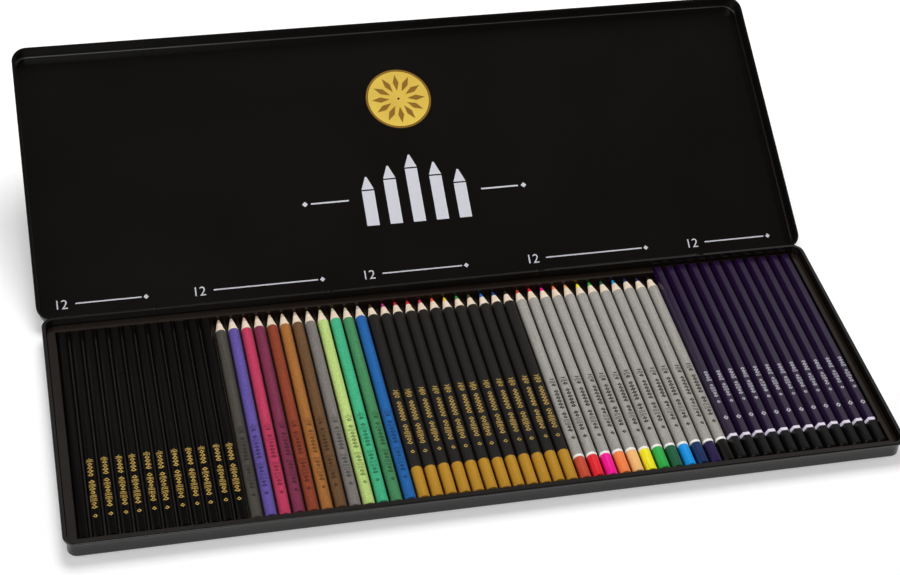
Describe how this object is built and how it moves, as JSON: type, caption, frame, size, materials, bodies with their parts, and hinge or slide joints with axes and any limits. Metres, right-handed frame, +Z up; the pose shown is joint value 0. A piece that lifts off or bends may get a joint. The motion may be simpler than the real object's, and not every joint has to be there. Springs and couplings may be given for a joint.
{
  "type": "colored pencil box",
  "caption": "Long flat black tin with a rear-hinged lid over a grooved tray that holds charcoal, metallic, watercolour, coloured and drawing pencils in one row.",
  "frame": {"origin": "middle of the flat underside of the base tin", "axes": "+X along the tin's long side to the right, +Y from the front to the hinge at the rear, +Z up"},
  "size_m": [0.5186, 0.3778, 0.0981],
  "materials": {
    "artist_pencil_black": "silver grey lacquer, white ring and coloured dipped end, coloured lead",
    "artist_pencil_brick": "silver grey lacquer, white ring and coloured dipped end, coloured lead",
    "artist_pencil_cyan": "silver grey lacquer, white ring and coloured dipped end, coloured lead",
    "artist_pencil_green": "silver grey lacquer, white ring and coloured dipped end, coloured lead",
    "artist_pencil_indigo": "silver grey lacquer, white ring and coloured dipped end, coloured lead",
    "artist_pencil_magenta": "silver grey lacquer, white ring and coloured dipped end, coloured lead",
    "artist_pencil_navy": "silver grey lacquer, white ring and coloured dipped end, coloured lead",
    "artist_pencil_orange": "silver grey lacquer, white ring and coloured dipped end, coloured lead",
    "artist_pencil_peach": "silver grey lacquer, white ring and coloured dipped end, coloured lead",
    "artist_pencil_pine": "silver grey lacquer, white ring and coloured dipped end, coloured lead",
    "artist_pencil_red": "silver grey lacquer, white ring and coloured dipped end, coloured lead",
    "artist_pencil_yellow": "silver grey lacquer, white ring and coloured dipped end, coloured lead",
    "black_tin": "satin black lacquer on tin plate",
    "charcoal_lacquer": "glossy black lacquer, gold stamped marks, thick charcoal core",
    "drawing_lacquer": "dark plum lacquer, silver stamped marks, white ring, black dipped end",
    "hinge_steel": "drawn steel wire",
    "metallic_pencil_blue": "metallic lacquer, bare wood cone and lead at the sharpened end",
    "metallic_pencil_bronze": "metallic lacquer, bare wood cone and lead at the sharpened end",
    "metallic_pencil_copper": "metallic lacquer, bare wood cone and lead at the sharpened end",
    "metallic_pencil_emerald": "metallic lacquer, bare wood cone and lead at the sharpened end",
    "metallic_pencil_green": "metallic lacquer, bare wood cone and lead at the sharpened end",
    "metallic_pencil_lime": "metallic lacquer, bare wood cone and lead at the sharpened end",
    "metallic_pencil_maroon": "metallic lacquer, bare wood cone and lead at the sharpened end",
    "metallic_pencil_ochre": "metallic lacquer, bare wood cone and lead at the sharpened end",
    "metallic_pencil_pewter": "metallic lacquer, bare wood cone and lead at the sharpened end",
    "metallic_pencil_pink": "metallic lacquer, bare wood cone and lead at the sharpened end",
    "metallic_pencil_silver": "metallic lacquer, bare wood cone and lead at the sharpened end",
    "metallic_pencil_violet": "metallic lacquer, bare wood cone and lead at the sharpened end",
    "tray_plastic": "glossy black formed plastic sheet",
    "watercolour_pencil_black": "matte black lacquer, gold stamped marks and gold dipped end, coloured lead",
    "watercolour_pencil_blue": "matte black lacquer, gold stamped marks and gold dipped end, coloured lead",
    "watercolour_pencil_brown": "matte black lacquer, gold stamped marks and gold dipped end, coloured lead",
    "watercolour_pencil_crimson": "matte black lacquer, gold stamped marks and gold dipped end, coloured lead",
    "watercolour_pencil_green": "matte black lacquer, gold stamped marks and gold dipped end, coloured lead",
    "watercolour_pencil_magenta": "matte black lacquer, gold stamped marks and gold dipped end, coloured lead",
    "watercolour_pencil_navy": "matte black lacquer, gold stamped marks and gold dipped end, coloured lead",
    "watercolour_pencil_olive": "matte black lacquer, gold stamped marks and gold dipped end, coloured lead",
    "watercolour_pencil_orange": "matte black lacquer, gold stamped marks and gold dipped end, coloured lead",
    "watercolour_pencil_red": "matte black lacquer, gold stamped marks and gold dipped end, coloured lead",
    "watercolour_pencil_scarlet": "matte black lacquer, gold stamped marks and gold dipped end, coloured lead",
    "watercolour_pencil_yellow": "matte black lacquer, gold stamped marks and gold dipped end, coloured lead"
  },
  "bodies": {
    "box": {"base_tin": "black_tin", "pencil_tray": "tray_plastic", "left_hinge_pin": "hinge_steel", "right_hinge_pin": "hinge_steel"},
    "lid": {"lid_tin": "black_tin"},
    "artist_pencil_black": {"artist_pencil_black": "artist_pencil_black"},
    "artist_pencil_brick": {"artist_pencil_brick": "artist_pencil_brick"},
    "artist_pencil_cyan": {"artist_pencil_cyan": "artist_pencil_cyan"},
    "artist_pencil_green": {"artist_pencil_green": "artist_pencil_green"},
    "artist_pencil_indigo": {"artist_pencil_indigo": "artist_pencil_indigo"},
    "artist_pencil_magenta": {"artist_pencil_magenta": "artist_pencil_magenta"},
    "artist_pencil_navy": {"artist_pencil_navy": "artist_pencil_navy"},
    "artist_pencil_orange": {"artist_pencil_orange": "artist_pencil_orange"},
    "artist_pencil_peach": {"artist_pencil_peach": "artist_pencil_peach"},
    "artist_pencil_pine": {"artist_pencil_pine": "artist_pencil_pine"},
    "artist_pencil_red": {"artist_pencil_red": "artist_pencil_red"},
    "artist_pencil_yellow": {"artist_pencil_yellow": "artist_pencil_yellow"},
    "charcoal_pencils_01_02": {"charcoal_pencils_01_02": "charcoal_lacquer"},
    "charcoal_pencils_03_04": {"charcoal_pencils_03_04": "charcoal_lacquer"},
    "charcoal_pencils_05_06": {"charcoal_pencils_05_06": "charcoal_lacquer"},
    "charcoal_pencils_07_08": {"charcoal_pencils_07_08": "charcoal_lacquer"},
    "charcoal_pencils_09_10": {"charcoal_pencils_09_10": "charcoal_lacquer"},
    "charcoal_pencils_11_12": {"charcoal_pencils_11_12": "charcoal_lacquer"},
    "drawing_pencil_01": {"drawing_pencil_01": "drawing_lacquer"},
    "drawing_pencil_02": {"drawing_pencil_02": "drawing_lacquer"},
    "drawing_pencil_03": {"drawing_pencil_03": "drawing_lacquer"},
    "drawing_pencil_04": {"drawing_pencil_04": "drawing_lacquer"},
    "drawing_pencil_05": {"drawing_pencil_05": "drawing_lacquer"},
    "drawing_pencil_06": {"drawing_pencil_06": "drawing_lacquer"},
    "drawing_pencil_07": {"drawing_pencil_07": "drawing_lacquer"},
    "drawing_pencil_08": {"drawing_pencil_08": "drawing_lacquer"},
    "drawing_pencil_09": {"drawing_pencil_09": "drawing_lacquer"},
    "drawing_pencil_10": {"drawing_pencil_10": "drawing_lacquer"},
    "drawing_pencil_11": {"drawing_pencil_11": "drawing_lacquer"},
    "drawing_pencil_12": {"drawing_pencil_12": "drawing_lacquer"},
    "metallic_pencil_blue": {"metallic_pencil_blue": "metallic_pencil_blue"},
    "metallic_pencil_bronze": {"metallic_pencil_bronze": "metallic_pencil_bronze"},
    "metallic_pencil_copper": {"metallic_pencil_copper": "metallic_pencil_copper"},
    "metallic_pencil_emerald": {"metallic_pencil_emerald": "metallic_pencil_emerald"},
    "metallic_pencil_green": {"metallic_pencil_green": "metallic_pencil_green"},
    "metallic_pencil_lime": {"metallic_pencil_lime": "metallic_pencil_lime"},
    "metallic_pencil_maroon": {"metallic_pencil_maroon": "metallic_pencil_maroon"},
    "metallic_pencil_ochre": {"metallic_pencil_ochre": "metallic_pencil_ochre"},
    "metallic_pencil_pewter": {"metallic_pencil_pewter": "metallic_pencil_pewter"},
    "metallic_pencil_pink": {"metallic_pencil_pink": "metallic_pencil_pink"},
    "metallic_pencil_silver": {"metallic_pencil_silver": "metallic_pencil_silver"},
    "metallic_pencil_violet": {"metallic_pencil_violet": "metallic_pencil_violet"},
    "watercolour_pencil_black": {"watercolour_pencil_black": "watercolour_pencil_black"},
    "watercolour_pencil_blue": {"watercolour_pencil_blue": "watercolour_pencil_blue"},
    "watercolour_pencil_brown": {"watercolour_pencil_brown": "watercolour_pencil_brown"},
    "watercolour_pencil_crimson": {"watercolour_pencil_crimson": "watercolour_pencil_crimson"},
    "watercolour_pencil_green": {"watercolour_pencil_green": "watercolour_pencil_green"},
    "watercolour_pencil_magenta": {"watercolour_pencil_magenta": "watercolour_pencil_magenta"},
    "watercolour_pencil_navy": {"watercolour_pencil_navy": "watercolour_pencil_navy"},
    "watercolour_pencil_olive": {"watercolour_pencil_olive": "watercolour_pencil_olive"},
    "watercolour_pencil_orange": {"watercolour_pencil_orange": "watercolour_pencil_orange"},
    "watercolour_pencil_red": {"watercolour_pencil_red": "watercolour_pencil_red"},
    "watercolour_pencil_scarlet": {"watercolour_pencil_scarlet": "watercolour_pencil_scarlet"},
    "watercolour_pencil_yellow": {"watercolour_pencil_yellow": "watercolour_pencil_yellow"}
  },
  "joints": [
    {"name": "hinge_lid", "type": "hinge", "parent": "box", "child": "lid", "pos_m": [0, 0.0992, 0.0095], "axis": [-1, 0, 0], "range_deg": [-153.5, 0]},
    {"name": "lift_artist_pencil_black", "type": "slide", "parent": "box", "child": "artist_pencil_black", "axis": [0, 0, 1], "range_m": [0, 0.025]},
    {"name": "lift_artist_pencil_brick", "type": "slide", "parent": "box", "child": "artist_pencil_brick", "axis": [0, 0, 1], "range_m": [0, 0.025]},
    {"name": "lift_artist_pencil_cyan", "type": "slide", "parent": "box", "child": "artist_pencil_cyan", "axis": [0, 0, 1], "range_m": [0, 0.025]},
    {"name": "lift_artist_pencil_green", "type": "slide", "parent": "box", "child": "artist_pencil_green", "axis": [0, 0, 1], "range_m": [0, 0.025]},
    {"name": "lift_artist_pencil_indigo", "type": "slide", "parent": "box", "child": "artist_pencil_indigo", "axis": [0, 0, 1], "range_m": [0, 0.025]},
    {"name": "lift_artist_pencil_magenta", "type": "slide", "parent": "box", "child": "artist_pencil_magenta", "axis": [0, 0, 1], "range_m": [0, 0.025]},
    {"name": "lift_artist_pencil_navy", "type": "slide", "parent": "box", "child": "artist_pencil_navy", "axis": [0, 0, 1], "range_m": [0, 0.025]},
    {"name": "lift_artist_pencil_orange", "type": "slide", "parent": "box", "child": "artist_pencil_orange", "axis": [0, 0, 1], "range_m": [0, 0.025]},
    {"name": "lift_artist_pencil_peach", "type": "slide", "parent": "box", "child": "artist_pencil_peach", "axis": [0, 0, 1], "range_m": [0, 0.025]},
    {"name": "lift_artist_pencil_pine", "type": "slide", "parent": "box", "child": "artist_pencil_pine", "axis": [0, 0, 1], "range_m": [0, 0.025]},
    {"name": "lift_artist_pencil_red", "type": "slide", "parent": "box", "child": "artist_pencil_red", "axis": [0, 0, 1], "range_m": [0, 0.025]},
    {"name": "lift_artist_pencil_yellow", "type": "slide", "parent": "box", "child": "artist_pencil_yellow", "axis": [0, 0, 1], "range_m": [0, 0.025]},
    {"name": "lift_charcoal_pencils_01_02", "type": "slide", "parent": "box", "child": "charcoal_pencils_01_02", "axis": [0, 0, 1], "range_m": [0, 0.025]},
    {"name": "lift_charcoal_pencils_03_04", "type": "slide", "parent": "box", "child": "charcoal_pencils_03_04", "axis": [0, 0, 1], "range_m": [0, 0.025]},
    {"name": "lift_charcoal_pencils_05_06", "type": "slide", "parent": "box", "child": "charcoal_pencils_05_06", "axis": [0, 0, 1], "range_m": [0, 0.025]},
    {"name": "lift_charcoal_pencils_07_08", "type": "slide", "parent": "box", "child": "charcoal_pencils_07_08", "axis": [0, 0, 1], "range_m": [0, 0.025]},
    {"name": "lift_charcoal_pencils_09_10", "type": "slide", "parent": "box", "child": "charcoal_pencils_09_10", "axis": [0, 0, 1], "range_m": [0, 0.025]},
    {"name": "lift_charcoal_pencils_11_12", "type": "slide", "parent": "box", "child": "charcoal_pencils_11_12", "axis": [0, 0, 1], "range_m": [0, 0.025]},
    {"name": "lift_drawing_pencil_01", "type": "slide", "parent": "box", "child": "drawing_pencil_01", "axis": [0, 0, 1], "range_m": [0, 0.025]},
    {"name": "lift_drawing_pencil_02", "type": "slide", "parent": "box", "child": "drawing_pencil_02", "axis": [0, 0, 1], "range_m": [0, 0.025]},
    {"name": "lift_drawing_pencil_03", "type": "slide", "parent": "box", "child": "drawing_pencil_03", "axis": [0, 0, 1], "range_m": [0, 0.025]},
    {"name": "lift_drawing_pencil_04", "type": "slide", "parent": "box", "child": "drawing_pencil_04", "axis": [0, 0, 1], "range_m": [0, 0.025]},
    {"name": "lift_drawing_pencil_05", "type": "slide", "parent": "box", "child": "drawing_pencil_05", "axis": [0, 0, 1], "range_m": [0, 0.025]},
    {"name": "lift_drawing_pencil_06", "type": "slide", "parent": "box", "child": "drawing_pencil_06", "axis": [0, 0, 1], "range_m": [0, 0.025]},
    {"name": "lift_drawing_pencil_07", "type": "slide", "parent": "box", "child": "drawing_pencil_07", "axis": [0, 0, 1], "range_m": [0, 0.025]},
    {"name": "lift_drawing_pencil_08", "type": "slide", "parent": "box", "child": "drawing_pencil_08", "axis": [0, 0, 1], "range_m": [0, 0.025]},
    {"name": "lift_drawing_pencil_09", "type": "slide", "parent": "box", "child": "drawing_pencil_09", "axis": [0, 0, 1], "range_m": [0, 0.025]},
    {"name": "lift_drawing_pencil_10", "type": "slide", "parent": "box", "child": "drawing_pencil_10", "axis": [0, 0, 1], "range_m": [0, 0.025]},
    {"name": "lift_drawing_pencil_11", "type": "slide", "parent": "box", "child": "drawing_pencil_11", "axis": [0, 0, 1], "range_m": [0, 0.025]},
    {"name": "lift_drawing_pencil_12", "type": "slide", "parent": "box", "child": "drawing_pencil_12", "axis": [0, 0, 1], "range_m": [0, 0.025]},
    {"name": "lift_metallic_pencil_blue", "type": "slide", "parent": "box", "child": "metallic_pencil_blue", "axis": [0, 0, 1], "range_m": [0, 0.025]},
    {"name": "lift_metallic_pencil_bronze", "type": "slide", "parent": "box", "child": "metallic_pencil_bronze", "axis": [0, 0, 1], "range_m": [0, 0.025]},
    {"name": "lift_metallic_pencil_copper", "type": "slide", "parent": "box", "child": "metallic_pencil_copper", "axis": [0, 0, 1], "range_m": [0, 0.025]},
    {"name": "lift_metallic_pencil_emerald", "type": "slide", "parent": "box", "child": "metallic_pencil_emerald", "axis": [0, 0, 1], "range_m": [0, 0.025]},
    {"name": "lift_metallic_pencil_green", "type": "slide", "parent": "box", "child": "metallic_pencil_green", "axis": [0, 0, 1], "range_m": [0, 0.025]},
    {"name": "lift_metallic_pencil_lime", "type": "slide", "parent": "box", "child": "metallic_pencil_lime", "axis": [0, 0, 1], "range_m": [0, 0.025]},
    {"name": "lift_metallic_pencil_maroon", "type": "slide", "parent": "box", "child": "metallic_pencil_maroon", "axis": [0, 0, 1], "range_m": [0, 0.025]},
    {"name": "lift_metallic_pencil_ochre", "type": "slide", "parent": "box", "child": "metallic_pencil_ochre", "axis": [0, 0, 1], "range_m": [0, 0.025]},
    {"name": "lift_metallic_pencil_pewter", "type": "slide", "parent": "box", "child": "metallic_pencil_pewter", "axis": [0, 0, 1], "range_m": [0, 0.025]},
    {"name": "lift_metallic_pencil_pink", "type": "slide", "parent": "box", "child": "metallic_pencil_pink", "axis": [0, 0, 1], "range_m": [0, 0.025]},
    {"name": "lift_metallic_pencil_silver", "type": "slide", "parent": "box", "child": "metallic_pencil_silver", "axis": [0, 0, 1], "range_m": [0, 0.025]},
    {"name": "lift_metallic_pencil_violet", "type": "slide", "parent": "box", "child": "metallic_pencil_violet", "axis": [0, 0, 1], "range_m": [0, 0.025]},
    {"name": "lift_watercolour_pencil_black", "type": "slide", "parent": "box", "child": "watercolour_pencil_black", "axis": [0, 0, 1], "range_m": [0, 0.025]},
    {"name": "lift_watercolour_pencil_blue", "type": "slide", "parent": "box", "child": "watercolour_pencil_blue", "axis": [0, 0, 1], "range_m": [0, 0.025]},
    {"name": "lift_watercolour_pencil_brown", "type": "slide", "parent": "box", "child": "watercolour_pencil_brown", "axis": [0, 0, 1], "range_m": [0, 0.025]},
    {"name": "lift_watercolour_pencil_crimson", "type": "slide", "parent": "box", "child": "watercolour_pencil_crimson", "axis": [0, 0, 1], "range_m": [0, 0.025]},
    {"name": "lift_watercolour_pencil_green", "type": "slide", "parent": "box", "child": "watercolour_pencil_green", "axis": [0, 0, 1], "range_m": [0, 0.025]},
    {"name": "lift_watercolour_pencil_magenta", "type": "slide", "parent": "box", "child": "watercolour_pencil_magenta", "axis": [0, 0, 1], "range_m": [0, 0.025]},
    {"name": "lift_watercolour_pencil_navy", "type": "slide", "parent": "box", "child": "watercolour_pencil_navy", "axis": [0, 0, 1], "range_m": [0, 0.025]},
    {"name": "lift_watercolour_pencil_olive", "type": "slide", "parent": "box", "child": "watercolour_pencil_olive", "axis": [0, 0, 1], "range_m": [0, 0.025]},
    {"name": "lift_watercolour_pencil_orange", "type": "slide", "parent": "box", "child": "watercolour_pencil_orange", "axis": [0, 0, 1], "range_m": [0, 0.025]},
    {"name": "lift_watercolour_pencil_red", "type": "slide", "parent": "box", "child": "watercolour_pencil_red", "axis": [0, 0, 1], "range_m": [0, 0.025]},
    {"name": "lift_watercolour_pencil_scarlet", "type": "slide", "parent": "box", "child": "watercolour_pencil_scarlet", "axis": [0, 0, 1], "range_m": [0, 0.025]},
    {"name": "lift_watercolour_pencil_yellow", "type": "slide", "parent": "box", "child": "watercolour_pencil_yellow", "axis": [0, 0, 1], "range_m": [0, 0.025]}
  ]
}
